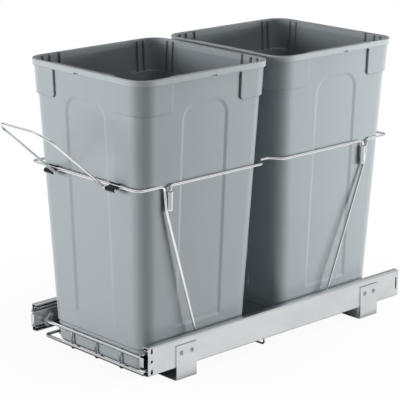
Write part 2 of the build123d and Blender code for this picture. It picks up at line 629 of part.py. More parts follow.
def cross_wire():
    """Crosswise wire under the floor wires, its ends screwed to the inner members."""
    screw = (CROSS_WIRE_Y, SLIDE_MID_Z)
    low = (CROSS_WIRE_Y, CROSS_WIRE_Z)
    half = [(CROSS_END_X, *wire_start(screw, low)), (CROSS_END_X, *low)]
    points = half + [(-x, y, z) for x, y, z in reversed(half)]
    wire = bent_wire(FLOOR_WIRE, points, [CROSS_WIRE_BEND] * 2)
    end = flat_end(screw, low, FLOOR_WIRE)
    return wire + end + mirrored(end)


# ---------------------------------------------------------------- hoops
def hoop(across_y, leg_top, knee, leg_foot):
    """One wire from foot to foot: up a leg, round a bin at hoop height and down again."""
    screw = (leg_foot, SLIDE_MID_Z)
    bend = (knee, KNEE_Z)
    half = [(LEG_FOOT_X, *wire_start(screw, bend)), (HOOP_SIDE, *bend),
            (HOOP_SIDE, leg_top, HOOP_Z), (HOOP_SIDE, across_y, HOOP_Z)]
    points = half + [(-x, y, z) for x, y, z in reversed(half)]
    radii = [KNEE_BEND, HOOP_BEND, HOOP_CORNER]
    wire = bent_wire(HOOP_WIRE, points, radii + radii[::-1])
    end = flat_end(screw, bend, HOOP_WIRE)
    return wire + end + mirrored(end)


def socket(y):
    """Right-hand socket: blind tube with a collar, welded beside a leg."""
    foot_z = SOCKET_TOP_Z - SOCKET_LENGTH
    dome_z = foot_z + SOCKET_RADIUS
    tube = rod(2 * SOCKET_RADIUS, (SOCKET_X, y, dome_z), (SOCKET_X, y, SOCKET_TOP_Z))
    tube += Pos(SOCKET_X, y, dome_z) * Sphere(SOCKET_RADIUS)
    collar_z = SOCKET_TOP_Z - SOCKET_COLLAR_HEIGHT
    tube += rod(2 * (SOCKET_RADIUS + SOCKET_COLLAR), (SOCKET_X, y, collar_z), (SOCKET_X, y, SOCKET_TOP_Z))
    return tube - rod(SOCKET_BORE, (SOCKET_X, y, dome_z), (SOCKET_X, y, SOCKET_TOP_Z + 1))


def side_wire():
    """Right-hand guard wire from socket to socket, dipping in between the bins."""
    end_z = SOCKET_TOP_Z - SOCKET_LENGTH + SOCKET_RADIUS + SIDE_WIRE_END_GAP
    dip_x = SOCKET_X - DIP_INSET
    dip_front = BINS_CENTRE - DIP_LEAD
    dip_rear = BINS_CENTRE + DIP_LEAD
    points = [
        (SOCKET_X, SOCKET_FRONT_Y, end_z),
        (SOCKET_X, SOCKET_FRONT_Y, HOOP_Z),
        (SOCKET_X, dip_front, HOOP_Z),
        (dip_x, dip_front + DIP_SLOPE_RUN, HOOP_Z),
        (dip_x, dip_rear - DIP_SLOPE_RUN, HOOP_Z),
        (SOCKET_X, dip_rear, HOOP_Z),
        (SOCKET_X, SOCKET_REAR_Y, HOOP_Z),
        (SOCKET_X, SOCKET_REAR_Y, end_z),
    ]
    radii = [SIDE_WIRE_BEND, DIP_BEND, DIP_BEND, DIP_BEND, DIP_BEND, SIDE_WIRE_BEND]
    return bent_wire(HOOP_WIRE, points, radii)


# ---------------------------------------------------------------- handle and clips
def handle():
    """Wire bail: two arms and a grip, its ends turned out as pivot pins."""
    reach_y = PIVOT_Y - HANDLE_LENGTH * cos(radians(HANDLE_ANGLE))
    reach_z = PIVOT_Z + HANDLE_LENGTH * sin(radians(HANDLE_ANGLE))
    half = [(PIN_END_X, PIVOT_Y, PIVOT_Z), (HANDLE_HALF_WIDTH, PIVOT_Y, PIVOT_Z),
            (HANDLE_HALF_WIDTH, reach_y, reach_z)]
    points = half + [(-x, y, z) for x, y, z in reversed(half)]
    radii = [HANDLE_END_BEND, HANDLE_CORNER]
    return bent_wire(HANDLE_WIRE, points, radii + radii[::-1])


def jaw(bore, mouth):
    """One open jaw of a clip: a ring with a wedge-shaped mouth."""
    ring = Circle(bore / 2 + CLIP_WALL) - Circle(bore / 2)
    far = bore + 2 * CLIP_WALL
    half = radians(CLIP_MOUTH / 2)
    wedge = make_face(Polyline((0, 0), (far * cos(half), far * sin(half)),
                               (far * cos(half), -far * sin(half)), close=True))
    return ring - Rot(0, 0, mouth) * wedge


def clip():
    """Right-hand clip: an S-shaped moulding, one jaw on the hoop and one round the handle's pin."""
    pin_bore = HANDLE_WIRE + 2 * PIN_CLEARANCE
    wire = (PIVOT_FORWARD, PIVOT_DROP)
    bridge = Rot(0, 0, heading((0, 0), wire)) * depth_rect(0, Vector(*wire).length, -CLIP_WALL, CLIP_WALL)
    bridge -= Circle(pin_bore / 2)
    bridge -= Pos(*wire) * Circle(HOOP_WIRE / 2)
    profile = jaw(pin_bore, CLIP_MOUTH_PIN) + bridge + Pos(*wire) * jaw(HOOP_WIRE, CLIP_MOUTH_WIRE)
    seat = Plane(origin=(CLIP_CENTRE_X - CLIP_LENGTH / 2, PIVOT_Y, PIVOT_Z), x_dir=(0, 1, 0),
                 z_dir=(1, 0, 0))
    return extrude(seat * profile, CLIP_LENGTH)


# ---------------------------------------------------------------- screws
def pan_screw(y, z):
    """Right-hand pan-head screw through an eyelet into the inner member."""
    seat_x = INNER_FACE - LINK_STEEL
    screw = rod(SCREW_HEAD, (seat_x - SCREW_HEAD_RISE, y, z), (seat_x, y, z))
    crown = screw.edges().filter_by(GeomType.CIRCLE).sort_by(Axis.X)[0]
    screw = chamfer(crown, SCREW_HEAD_RISE / 3)
    screw += rod(SCREW_SHAFT, (seat_x, y, z), (INNER_FACE + INNER_STEEL + SCREW_REACH, y, z))
    for along_y, along_z in ((SCREW_HEAD / 2, SCREW_RECESS), (SCREW_RECESS, SCREW_HEAD / 2)):
        recess = Box(SCREW_RECESS * 2, along_y, along_z)
        screw -= Pos(seat_x - SCREW_HEAD_RISE, y, z) * recess
    return screw


# ---------------------------------------------------------------- build
def build():
    """Make every piece and write it."""
    os.makedirs("parts", exist_ok=True)
    links = link_places()
    screw_places = [screw for _, screw in links]
    screw_places += [(y, SLIDE_MID_Z) for y in (FRONT_LEG_FOOT, REAR_LEG_FOOT, CROSS_WIRE_Y)]

    handed = {
        "outer_member": outer_member(),
        "middle_member": middle_member(),
        "inner_member": inner_member(screw_places),
        "outer_cage": ball_cage(OUTER_STEEL + RIVET_TAIL_RISE + CAGE_SIDE_GAP,
                                OUTER_BALL_DEPTH, OUTER_ROW, OUTER_BALL),
        "inner_cage": ball_cage(MIDDLE_WEB + MIDDLE_STEEL + CAGE_SIDE_GAP,
                                INNER_BALL_DEPTH, INNER_ROW, INNER_BALL),
        "outer_balls": ball_set(OUTER_BALL_DEPTH, OUTER_ROW, OUTER_BALL),
        "inner_balls": ball_set(INNER_BALL_DEPTH, INNER_ROW, INNER_BALL),
        "race_stops": race_stops(),
        "front_foot": foot(-FOOT_PITCH / 2),
        "rear_foot": foot(FOOT_PITCH / 2),
        "front_link": link_plate(*links[0]),
        "rear_link": link_plate(*links[1]),
        "front_socket": socket(SOCKET_FRONT_Y),
        "rear_socket": socket(SOCKET_REAR_Y),
        "side_wire": side_wire(),
        "clip": clip(),
    }
    for name, shape in handed.items():
        save(f"right_{name}", shape)
        save(f"left_{name}", mirrored(shape))

    rivets = [rivet(end * FOOT_PITCH / 2 + side * RIVET_PITCH / 2) for end in (-1, 1) for side in (-1, 1)]
    save("foot_rivets", Compound(rivets + [mirrored(piece) for piece in rivets]))
    screws = [pan_screw(y, z) for y, z in screw_places]
    save("tray_screws", Compound(screws + [mirrored(piece) for piece in screws]))

    save("front_top_wire", top_wire(-1))
    save("rear_top_wire", top_wire(1))
    save("bottom_loop", bottom_loop())
    save("left_floor_wire", floor_wire(-FLOOR_WIRE_PITCH))
    save("middle_floor_wire", floor_wire(0))
    save("right_floor_wire", floor_wire(FLOOR_WIRE_PITCH))
    save("cross_wire", cross_wire())
    save("front_hoop", hoop(HOOP_FRONT_Y, FRONT_LEG_TOP, FRONT_KNEE, FRONT_LEG_FOOT))
    save("rear_hoop", hoop(HOOP_REAR_Y, REAR_LEG_TOP, REAR_KNEE, REAR_LEG_FOOT))
    save("handle", handle())
    moulding = waste_bin()
    save("front_bin", Pos(0, FRONT_BIN_Y, BIN_BASE_Z) * moulding)
    save("rear_bin", Pos(0, REAR_BIN_Y, BIN_BASE_Z) * moulding)


build()
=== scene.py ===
"""Finishes, weld beads, studio and camera of a pull-out waste bin unit.

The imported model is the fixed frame. Its parts keep their shapes and get procedural
finishes here, and the small beads where the tray's wires are welded are added.
Metres. +Z is up, -Y is the front with the handle.
"""
import logging
from dataclasses import dataclass, field
from enum import Enum
from math import cos, radians, sin
from typing import Any, Optional, Union

import bmesh
import bpy
from mathutils import Matrix, Vector


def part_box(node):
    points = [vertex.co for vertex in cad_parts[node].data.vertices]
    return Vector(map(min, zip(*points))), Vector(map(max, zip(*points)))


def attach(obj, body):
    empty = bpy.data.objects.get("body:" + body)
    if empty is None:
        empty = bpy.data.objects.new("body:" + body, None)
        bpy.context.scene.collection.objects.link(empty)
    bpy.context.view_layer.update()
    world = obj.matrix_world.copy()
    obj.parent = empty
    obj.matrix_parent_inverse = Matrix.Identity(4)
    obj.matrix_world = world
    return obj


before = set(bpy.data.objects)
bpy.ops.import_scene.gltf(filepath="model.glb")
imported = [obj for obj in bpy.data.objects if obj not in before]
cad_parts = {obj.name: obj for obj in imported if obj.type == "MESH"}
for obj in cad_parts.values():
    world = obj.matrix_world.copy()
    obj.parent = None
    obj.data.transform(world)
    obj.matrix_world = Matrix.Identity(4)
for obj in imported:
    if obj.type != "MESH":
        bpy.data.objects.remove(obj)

LOG = logging.getLogger("bin_unit")
MM = 0.001
SIDES = ("left", "right")
ENDS = ("front", "rear")
MERGE_DISTANCE = 0.01 * MM
EDGE_SAMPLES = 4
# Sockets of a Mix node that blends colours, which share their names with other kinds' sockets.
MIX_FACTOR, MIX_FIRST, MIX_SECOND, MIX_RESULT = 0, 6, 7, 2

Colour = tuple[float, float, float, float]
Pair = tuple[float, float]
Triple = tuple[float, float, float]


def shade(red: int, green: int, blue: int) -> Colour:
    """Linear colour from the 0 to 255 numbers of a picture, by the sRGB curve.

    Args:
        red: Red, as a picture stores it.
        green: Green, as a picture stores it.
        blue: Blue, as a picture stores it.

    Returns:
        The colour as shaders take it, with an alpha of 1.
    """
    parts = [part / 255 for part in (red, green, blue)]
    linear = [part / 12.92 if part <= 0.04045 else ((part + 0.055) / 1.055) ** 2.4
              for part in parts]
    return (*linear, 1.0)


def grey(level: float) -> Colour:
    """Linear grey of a level from 0 to 1."""
    return (level, level, level, 1.0)


WHITE = grey(1.0)


class Slot(Enum):
    """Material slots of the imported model."""

    BIN_PLASTIC = "bin_plastic"
    ZINC_STEEL = "zinc_steel"
    CHROME_WIRE = "chrome_wire"
    BLACK_PLASTIC = "black_plastic"
    BRIGHT_STEEL = "bright_steel"


# ---------------------------------------------------------------- shader maths
class Value:
    """Number or vector that a shader works out, open to Python arithmetic."""

    def __init__(self, graph: "Graph", socket: bpy.types.NodeSocket) -> None:
        """Keep a socket.

        Args:
            graph: Graph that the socket is part of.
            socket: Output socket of one of its nodes.
        """
        self.graph = graph
        self.socket = socket

    def _maths(self, operation: str, first: "Number", second: "Number") -> "Value":
        """Math node on two numbers.

        Args:
            operation: Name of the node's operation.
            first: First number or value.
            second: Second number or value.

        Returns:
            The node's result.
        """
        return self.graph.value("ShaderNodeMath", {"operation": operation}, {0: first, 1: second})

    def __add__(self, other: "Number") -> "Value":
        """Sum."""
        return self._maths("ADD", self, other)

    def __radd__(self, other: "Number") -> "Value":
        """Sum, with the value on the right."""
        return self._maths("ADD", other, self)

    def __sub__(self, other: "Number") -> "Value":
        """Difference."""
        return self._maths("SUBTRACT", self, other)

    def __rsub__(self, other: "Number") -> "Value":
        """Difference, with the value on the right."""
        return self._maths("SUBTRACT", other, self)

    def __mul__(self, other: "Number") -> "Value":
        """Product."""
        return self._maths("MULTIPLY", self, other)

    def __rmul__(self, other: "Number") -> "Value":
        """Product, with the value on the right."""
        return self._maths("MULTIPLY", other, self)

    def __abs__(self) -> "Value":
        """Size without its sign."""
        return self._maths("ABSOLUTE", self, 0.0)

    def axis(self, name: str) -> "Value":
        """Number of a vector along X, Y or Z."""
        return self.graph.value("ShaderNodeSeparateXYZ", None, {0: self}, name)

    def band(self, start: float, end: float) -> "Value":
        """Smooth step of this value.

        Args:
            start: Value at which the step is 0.
            end: Value at which the step is 1.

        Returns:
            A number from 0 to 1.
        """
        settings = {"interpolation_type": "SMOOTHSTEP", "clamp": True}
        sockets = {"Value": self, "From Min": start, "From Max": end}
        return self.graph.value("ShaderNodeMapRange", settings, sockets)


Number = Union[float, Value]


@dataclass(frozen=True)
class Pattern:
    """Cloudy pattern on a piece.

    Attributes:
        size: Width of its clouds, in metres.
        stretch: Scale along each axis, where less than 1 draws the clouds out.
        detail: Finer clouds on the clouds.
        roughness: Strength of the finer clouds.
        cut: Levels between which it rises from 0 to 1, or None for the plain clouds.
    """

    size: float
    stretch: Triple = (1, 1, 1)
    detail: float = 2.0
    roughness: float = 0.5
    cut: Optional[Pair] = None


class Graph:
    """Node tree of one material or world, with the few calls that it is built from."""

    def __init__(self, tree: bpy.types.NodeTree) -> None:
        """Empty the tree.

        Args:
            tree: Node tree to fill.
        """
        self.tree = tree
        self.tree.nodes.clear()

    def node(self, kind: str, settings: Optional[dict[str, Any]] = None,
             sockets: Optional[dict[Union[int, str], Any]] = None) -> bpy.types.Node:
        """Add a node.

        Args:
            kind: Type name of the node.
            settings: Properties, set before the sockets.
            sockets: Numbers, colours, values or sockets for inputs, by name or index.

        Returns:
            The node.
        """
        made = self.tree.nodes.new(kind)
        for name, setting in (settings or {}).items():
            setattr(made, name, setting)
        for name, given in (sockets or {}).items():
            given = given.socket if isinstance(given, Value) else given
            if isinstance(given, bpy.types.NodeSocket):
                self.tree.links.new(given, made.inputs[name])
            else:
                made.inputs[name].default_value = given
        return made

    def value(self, kind: str, settings: Optional[dict[str, Any]] = None,
              sockets: Optional[dict[Union[int, str], Any]] = None,
              output: Union[int, str] = 0) -> Value:
        """Add a node and take one of its outputs.

        Args:
            kind: Type name of the node.
            settings: Properties, as for node.
            sockets: Inputs, as for node.
            output: Name or index of the output.

        Returns:
            The output, open to arithmetic.
        """
        return Value(self, self.node(kind, settings, sockets).outputs[output])

    def ray(self, kind: str) -> Value:
        """1 for rays of a kind, such as Camera or Glossy, and 0 for others."""
        return self.value("ShaderNodeLightPath", output=f"Is {kind} Ray")

    def place(self, stretch: Triple = (1, 1, 1)) -> Value:
        """Point on the piece, in its own metres.

        Args:
            stretch: Scale along each axis, which stretches a pattern.

        Returns:
            The point.
        """
        point = self.value("ShaderNodeTexCoord", output="Object")
        return self.value("ShaderNodeMapping", None, {"Vector": point, "Scale": stretch})

    def noise(self, pattern: Pattern) -> Value:
        """Cloudy pattern on the piece.

        Args:
            pattern: The pattern.

        Returns:
            A number around 0.5, or from 0 to 1 where the pattern has a cut.
        """
        clouds = self.value("ShaderNodeTexNoise", None, {
            "Vector": self.place(pattern.stretch), "Scale": 1 / pattern.size,
            "Detail": pattern.detail, "Roughness": pattern.roughness,
        })
        return clouds.band(*pattern.cut) if pattern.cut else clouds

    def blend(self, mask: Number, first: Any, second: Any) -> Value:
        """Blend of two colours.

        Args:
            mask: 0 gives the first, 1 the second.
            first: Colour or output.
            second: Colour or output.

        Returns:
            The colour.
        """
        sockets = {MIX_FACTOR: mask, MIX_FIRST: first, MIX_SECOND: second}
        return self.value("ShaderNodeMix", {"data_type": "RGBA"}, sockets, MIX_RESULT)

    def relief(self, height: Value, depth: float, edge: float) -> Value:
        """Surface direction with a relief on it, and sharp edges eased.

        Args:
            height: Pattern of the relief, from 0 to 1.
            depth: Height of the relief, in metres.
            edge: Radius to which sharp edges are eased, in metres.

        Returns:
            The direction.
        """
        eased = self.value("ShaderNodeBevel", {"samples": EDGE_SAMPLES}, {"Radius": edge})
        sockets = {"Height": height, "Distance": depth, "Normal": eased}
        return self.value("ShaderNodeBump", None, sockets)

    def surface(self, sockets: dict[str, Any]) -> None:
        """End the tree in a surface shader.

        Args:
            sockets: Inputs of the shader, by name.
        """
        shader = self.node("ShaderNodeBsdfPrincipled", None, sockets)
        self.node("ShaderNodeOutputMaterial", None, {"Surface": shader.outputs[0]})


# ---------------------------------------------------------------- finishes
@dataclass(frozen=True)
class Finish:
    """One finish of the unit.

    Attributes:
        slot: Material slot that it fills.
    """

    slot: Slot

    def build(self) -> bpy.types.Material:
        """Make the material of this finish.

        Returns:
            The material.
        """
        material = bpy.data.materials.new(self.slot.value + "_finish")
        material.use_nodes = True
        self.paint(Graph(material.node_tree))
        return material

    def paint(self, graph: Graph) -> None:
        """Fill a material's nodes.

        Args:
            graph: The material's graph.
        """
        raise NotImplementedError


@dataclass(frozen=True)
class MouldedPlastic(Finish):
    """Satin moulded plastic with a fine sparked grain, scuffs and a painted highlight along the
    rim.

    Attributes:
        colour: Colour of the plastic.
        worn_and_highlight: Colour of the plastic where it is scuffed, and of the painted
            highlight along the rim.
        roughness: Roughness between the scuffs.
        grain: Width of the grain, in metres.
        depth: Height of the grain, in metres.
        coarse: Width and height of a coarser grain, as shares of the fine one.
        edge: Radius that its edges look eased to, in metres.
        ease: Share that the colour drifts up and down the wall.
        gloss: Weight of the smooth skin that the polished mould leaves.
        skin: Roughness of that skin.
        sheen: Strength of the reflection, where 0.5 is that of common plastic.
        rim: Height above which a painted highlight lightens the colour, in metres.
        fade: Distance over which the painted highlight starts, up and down from the rim height.
        highlight_mix: Even part of the painted rim highlight and its cloudy part.
        tints: How much the scuffs and the painted rim highlight lighten the colour.
        spread: How much roughness the clouds and the scuffs add.
        flow: Slow drift of the colour.
        cloud: Clouds in the roughness and in the painted rim highlight.
        scuff: Upright scuffs.
        patch: Patches that hold the scuffs.
    """

    colour: Colour = shade(156, 164, 168)
    worn_and_highlight: Colour = shade(205, 209, 211)
    roughness: float = 0.36
    grain: float = 0.5 * MM
    depth: float = 0.008 * MM
    coarse: Pair = (2.4, 0.5)
    edge: float = 3.0 * MM
    ease: float = 0.04
    gloss: float = 0.5
    skin: float = 0.12
    sheen: float = 0.5
    rim: float = 451.8 * MM
    fade: float = 0.3 * MM
    highlight_mix: Pair = (0.7, 0.6)
    tints: Pair = (0.22, 0.27)
    spread: Pair = (0.06, 0.12)
    flow: Pattern = Pattern(70 * MM, (1, 1, 0.3), 3.0)
    cloud: Pattern = Pattern(9 * MM, detail=4.0)
    scuff: Pattern = Pattern(2.2 * MM, (0.09, 0.09, 1), 3.0, 0.65, (0.66, 0.76))
    patch: Pattern = Pattern(55 * MM, cut=(0.52, 0.66))

    def drifted(self, change: float) -> Colour:
        """Colour of the plastic, lighter or darker by a share of itself."""
        return (*(part * (1 + change) for part in self.colour[:3]), 1.0)

    def sparked(self, graph: Graph) -> Value:
        """Grain of the mould, fine on coarse.

        Args:
            graph: The material's graph.

        Returns:
            Its height.
        """
        width, height = self.coarse
        fine = graph.noise(Pattern(self.grain))
        return fine + height * graph.noise(Pattern(width * self.grain, detail=1.0))

    def paint(self, graph: Graph) -> None:
        """Fill a material's nodes.

        Args:
            graph: The material's graph.
        """
        cloud = graph.noise(self.cloud)
        scuffed = graph.noise(self.scuff) * graph.noise(self.patch)
        # Painted highlight: the band above the rim height is lightened, in clouds, to stand in
        # for light that the rim catches.
        height = graph.place().axis("Z")
        even, cloudy = self.highlight_mix
        rim_highlight = height.band(self.rim - self.fade, self.rim + self.fade) * (even + cloudy * cloud)
        scuff_tint, highlight_tint = self.tints
        drift = graph.noise(self.flow)
        base = graph.blend(drift, self.drifted(-self.ease), self.drifted(self.ease))
        base = graph.blend(scuffed * scuff_tint, base, self.worn_and_highlight)
        # Painted highlight along the rim, blended towards the lighter colour.
        base = graph.blend(highlight_tint * rim_highlight, base, self.worn_and_highlight)
        cloud_spread, scuff_spread = self.spread
        smooth = self.roughness - cloud_spread / 2
        graph.surface({
            "Base Color": base,
            "Roughness": smooth + cloud_spread * cloud + scuff_spread * scuffed,
            "Coat Weight": self.gloss, "Coat Roughness": self.skin,
            "Specular IOR Level": self.sheen,
            "Normal": graph.relief(self.sparked(graph), self.depth, self.edge),
        })


@dataclass(frozen=True)
class RolledSteel(Finish):
    """Zinc-plated strip with fine rolling lines along the unit and faint clouds.

    Attributes:
        bright: Colour of the clear zinc.
        dull: Colour of the clouded zinc.
        stained: Colour of the stains.
        roughness: Roughness of the clear zinc.
        edge: Radius that its edges look eased to, in metres.
        depth: Height of the rolling lines, in metres.
        tints: How much the clouds and the stains colour it.
        spread: How much roughness the clouds, the lines and the stains add.
        lines: Rolling lines.
        cloud: Clouds in the plating.
        bloom: Mottling inside the stains.
        stain: Stains on the plating.
    """

    bright: Colour = shade(219, 222, 223)
    dull: Colour = shade(210, 213, 215)
    stained: Colour = shade(160, 164, 168)
    roughness: float = 0.26
    edge: float = 0.35 * MM
    depth: float = 0.004 * MM
    tints: Pair = (0.75, 0.12)
    spread: Triple = (0.03, 0.04, 0.04)
    lines: Pattern = Pattern(0.55 * MM, (1, 0.012, 1), 3.0, 0.6)
    cloud: Pattern = Pattern(26 * MM, (1, 0.5, 1), 4.0, 0.6, (0.3, 0.7))
    bloom: Pattern = Pattern(4 * MM, detail=3.0)
    stain: Pattern = Pattern(13 * MM, (1, 0.7, 1), 3.0, cut=(0.6, 0.78))

    def paint(self, graph: Graph) -> None:
        """Fill a material's nodes.

        Args:
            graph: The material's graph.
        """
        lines, cloud = graph.noise(self.lines), graph.noise(self.cloud)
        bloom, stain = graph.noise(self.bloom), graph.noise(self.stain)
        cloud_tint, stain_tint = self.tints
        base = graph.blend(cloud_tint * cloud, self.bright, self.dull)
        base = graph.blend(stain_tint * stain * bloom, base, self.stained)
        cloudy, lined, dirty = self.spread
        graph.surface({
            "Base Color": base, "Metallic": 1.0,
            "Roughness": self.roughness + cloudy * cloud + lined * lines + dirty * stain,
            "Normal": graph.relief(lines, self.depth, self.edge),
        })


@dataclass(frozen=True)
class PlatedWire(Finish):
    """Bright chrome over drawn wire.

    Attributes:
        clear: Colour of the plating.
        hazed: Colour of the plating where it is handled.
        pitted: Colour of the pits.
        roughness: Roughness of the clear plating.
        edge: Radius that its edges look eased to, in metres.
        depth: Height of the marks of the drawing die, in metres.
        tints: How much the haze and the pits colour it.
        spread: How much roughness the haze, the die marks and the pits add.
        haze: Haze on the plating.
        draw: Marks of the drawing die.
        pit: Pits in the plating.
    """

    clear: Colour = shade(238, 239, 241)
    hazed: Colour = shade(217, 219, 222)
    pitted: Colour = shade(120, 118, 115)
    roughness: float = 0.07
    edge: float = 0.3 * MM
    depth: float = 0.012 * MM
    tints: Pair = (0.5, 0.3)
    spread: Triple = (0.08, 0.04, 0.15)
    haze: Pattern = Pattern(12 * MM, (1, 1, 1), 4.0, 0.6, (0.45, 0.75))
    draw: Pattern = Pattern(1.1 * MM, (1, 1, 1), 3.0, 0.6)
    pit: Pattern = Pattern(0.9 * MM, detail=1.0, cut=(0.7, 0.78))

    def paint(self, graph: Graph) -> None:
        """Fill a material's nodes.

        Args:
            graph: The material's graph.
        """
        haze, draw, pit = (graph.noise(mark) for mark in (self.haze, self.draw, self.pit))
        haze_tint, pit_tint = self.tints
        base = graph.blend(haze_tint * haze, self.clear, self.hazed)
        base = graph.blend(pit_tint * pit, base, self.pitted)
        hazy, drawn, rough = self.spread
        graph.surface({
            "Base Color": base, "Metallic": 1.0,
            "Roughness": self.roughness + hazy * haze + drawn * draw + rough * pit,
            "Normal": graph.relief(draw, self.depth, self.edge),
        })


@dataclass(frozen=True)
class BrightSteel(Finish):
    """Bare bright steel of rivets, screws, cages and balls, with an oil film.

    Attributes:
        dry: Colour of the steel.
        oiled: Colour of the steel under the film.
        roughness: Roughness of the dry steel.
        edge: Radius that its edges look eased to, in metres.
        depth: Height of the specks, in metres.
        tint: How much the film colours it.
        spread: How much roughness the film and the specks add.
        film: Oil film.
        speck: Specks of the ground surface.
    """

    dry: Colour = shade(182, 184, 186)
    oiled: Colour = shade(166, 165, 160)
    roughness: float = 0.3
    edge: float = 0.15 * MM
    depth: float = 0.01 * MM
    tint: float = 0.5
    spread: Pair = (0.1, 0.08)
    film: Pattern = Pattern(5 * MM, detail=3.0, cut=(0.4, 0.65))
    speck: Pattern = Pattern(0.7 * MM, detail=3.0)

    def paint(self, graph: Graph) -> None:
        """Fill a material's nodes.

        Args:
            graph: The material's graph.
        """
        film, speck = graph.noise(self.film), graph.noise(self.speck)
        oily, specked = self.spread
        graph.surface({
            "Base Color": graph.blend(self.tint * film, self.dry, self.oiled), "Metallic": 1.0,
            "Roughness": self.roughness + oily * film + specked * speck,
            "Normal": graph.relief(speck, self.depth, self.edge),
        })


BIN_FINISH = MouldedPlastic(Slot.BIN_PLASTIC)
CLIP_FINISH = MouldedPlastic(
    Slot.BLACK_PLASTIC, colour=shade(13, 14, 16), roughness=0.4, grain=0.25 * MM,
    depth=0.006 * MM, edge=0.25 * MM, ease=0.12, gloss=0.1, sheen=0.22,
)
FINISHES: tuple[Finish, ...] = (
    BIN_FINISH, CLIP_FINISH, RolledSteel(Slot.ZINC_STEEL), PlatedWire(Slot.CHROME_WIRE),
    BrightSteel(Slot.BRIGHT_STEEL),
)


class Paintbox:
    """Materials of the unit by slot, and the parts that have been dressed in them."""

    def __init__(self) -> None:
        """Build each finish once."""
        self.materials: dict[Slot, bpy.types.Material] = {
            finish.slot: finish.build() for finish in FINISHES}
        self.dressed: set[str] = set()

    def dress_part(self, name: str, slot: Slot) -> None:
        """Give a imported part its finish.

        Args:
            name: Node name of the part.
            slot: Finish to give it.
        """
        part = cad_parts[name]
        for held in part.material_slots:
            held.material = self.materials[slot]
        self.dressed.add(name)

    def dress_piece(self, piece: bpy.types.Object, slot: Slot, body: str) -> None:
        """Give a new piece its finish and the body that it moves with.

        Args:
            piece: The new piece.
            slot: Finish to give it.
            body: Body that it rides on.
        """
        piece.data.materials.append(self.materials[slot])
        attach(piece, body)
        LOG.info("piece %s on %s, %d faces", piece.name, body, len(piece.data.polygons))


def make_piece(name: str, mesh: bmesh.types.BMesh, smooth: float = 40.0) -> bpy.types.Object:
    """Turn a bmesh into an object at the origin.

    Args:
        name: Name of the piece.
        mesh: Its shape, in the frame's metres. It is freed.
        smooth: Edges that turn less than this many degrees are smooth.

    Returns:
        The object.
    """
    bmesh.ops.remove_doubles(mesh, verts=mesh.verts[:], dist=MERGE_DISTANCE)
    bmesh.ops.recalc_face_normals(mesh, faces=mesh.faces[:])
    for face in mesh.faces:
        face.smooth = True
    for edge in mesh.edges:
        edge.smooth = len(edge.link_faces) < 2 or edge.calc_face_angle(0.0) < radians(smooth)
    data = bpy.data.meshes.new(name)
    mesh.to_mesh(data)
    mesh.free()
    piece = bpy.data.objects.new(name, data)
    bpy.context.scene.collection.objects.link(piece)
    return piece


# ---------------------------------------------------------------- sub-assemblies
@dataclass
class Bins:
    """The two moulded bins."""

    def build(self, paints: Paintbox) -> None:
        """Dress both bins.

        Args:
            paints: Materials of the unit.
        """
        for end in ENDS:
            paints.dress_part(f"{end}_bin", Slot.BIN_PLASTIC)


@dataclass
class Slides:
    """The pair of ball slides with their feet and rivets.

    Attributes:
        strips: Zinc-plated parts of one side.
        bright: Bare steel parts of one side.
    """

    strips: tuple[str, ...] = (
        "outer_member", "middle_member", "inner_member", "front_foot", "rear_foot",
    )
    bright: tuple[str, ...] = ("outer_cage", "inner_cage", "outer_balls", "inner_balls")

    def build(self, paints: Paintbox) -> None:
        """Dress both slides.

        Args:
            paints: Materials of the unit.
        """
        for side in SIDES:
            for strip in self.strips:
                paints.dress_part(f"{side}_{strip}", Slot.ZINC_STEEL)
            for part in self.bright:
                paints.dress_part(f"{side}_{part}", Slot.BRIGHT_STEEL)
            paints.dress_part(f"{side}_race_stops", Slot.BLACK_PLASTIC)
        paints.dress_part("foot_rivets", Slot.BRIGHT_STEEL)


@dataclass
class Tray:
    """The wire tray with its hoops, side wires and screws.

    Attributes:
        bead: Half the length of a weld bead, in metres.
        slim: A bead's thickness and height as shares of its length.
        roundness: How often a bead's faces are divided.
        floor_wires: Lengthwise wires that are welded at both ends.
        wires: The tray's other single wires.
        fittings: Wires and plates that stand on both sides.
    """

    bead: float = 2.5 * MM
    slim: Pair = (0.36, 0.62)
    roundness: int = 2
    floor_wires: tuple[str, ...] = ("left_floor_wire", "middle_floor_wire", "right_floor_wire")
    wires: tuple[str, ...] = (
        "bottom_loop", "cross_wire", "front_top_wire", "rear_top_wire", "front_hoop", "rear_hoop",
    )
    fittings: tuple[str, ...] = (
        "front_link", "rear_link", "front_socket", "rear_socket", "side_wire",
    )

    def build(self, paints: Paintbox) -> None:
        """Dress the tray and add its weld beads.

        Args:
            paints: Materials of the unit.
        """
        for wire in self.wires + self.floor_wires:
            paints.dress_part(wire, Slot.CHROME_WIRE)
        for side in SIDES:
            for fitting in self.fittings:
                paints.dress_part(f"{side}_{fitting}", Slot.CHROME_WIRE)
        paints.dress_part("tray_screws", Slot.BRIGHT_STEEL)
        paints.dress_piece(self.weld_beads(), Slot.CHROME_WIRE, "tray")

    def crossings(self) -> list[Vector]:
        """Middles of the welds between the tray's wires.

        Returns:
            One point for each weld, in the frame's metres.
        """
        points = []
        loop_low, loop_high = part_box("bottom_loop")
        half = (loop_high.z - loop_low.z) / 2
        heights = [loop_high.z - half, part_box("front_top_wire")[1].z - half]
        for name in self.floor_wires:
            low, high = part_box(name)
            for height in heights:
                for y in (low.y, high.y):
                    points.append(Vector(((low.x + high.x) / 2, y, height)))
        return points

    def weld_beads(self) -> bpy.types.Object:
        """Small beads where the tray's wires are welded.

        Returns:
            One piece with all the beads.
        """
        mesh = bmesh.new()
        for point in self.crossings():
            shape = Matrix.Translation(point) @ Matrix.Diagonal((1, *self.slim, 1))
            bmesh.ops.create_icosphere(mesh, subdivisions=self.roundness, radius=self.bead,
                                       matrix=shape)
        return make_piece("weld_beads", mesh, smooth=180)


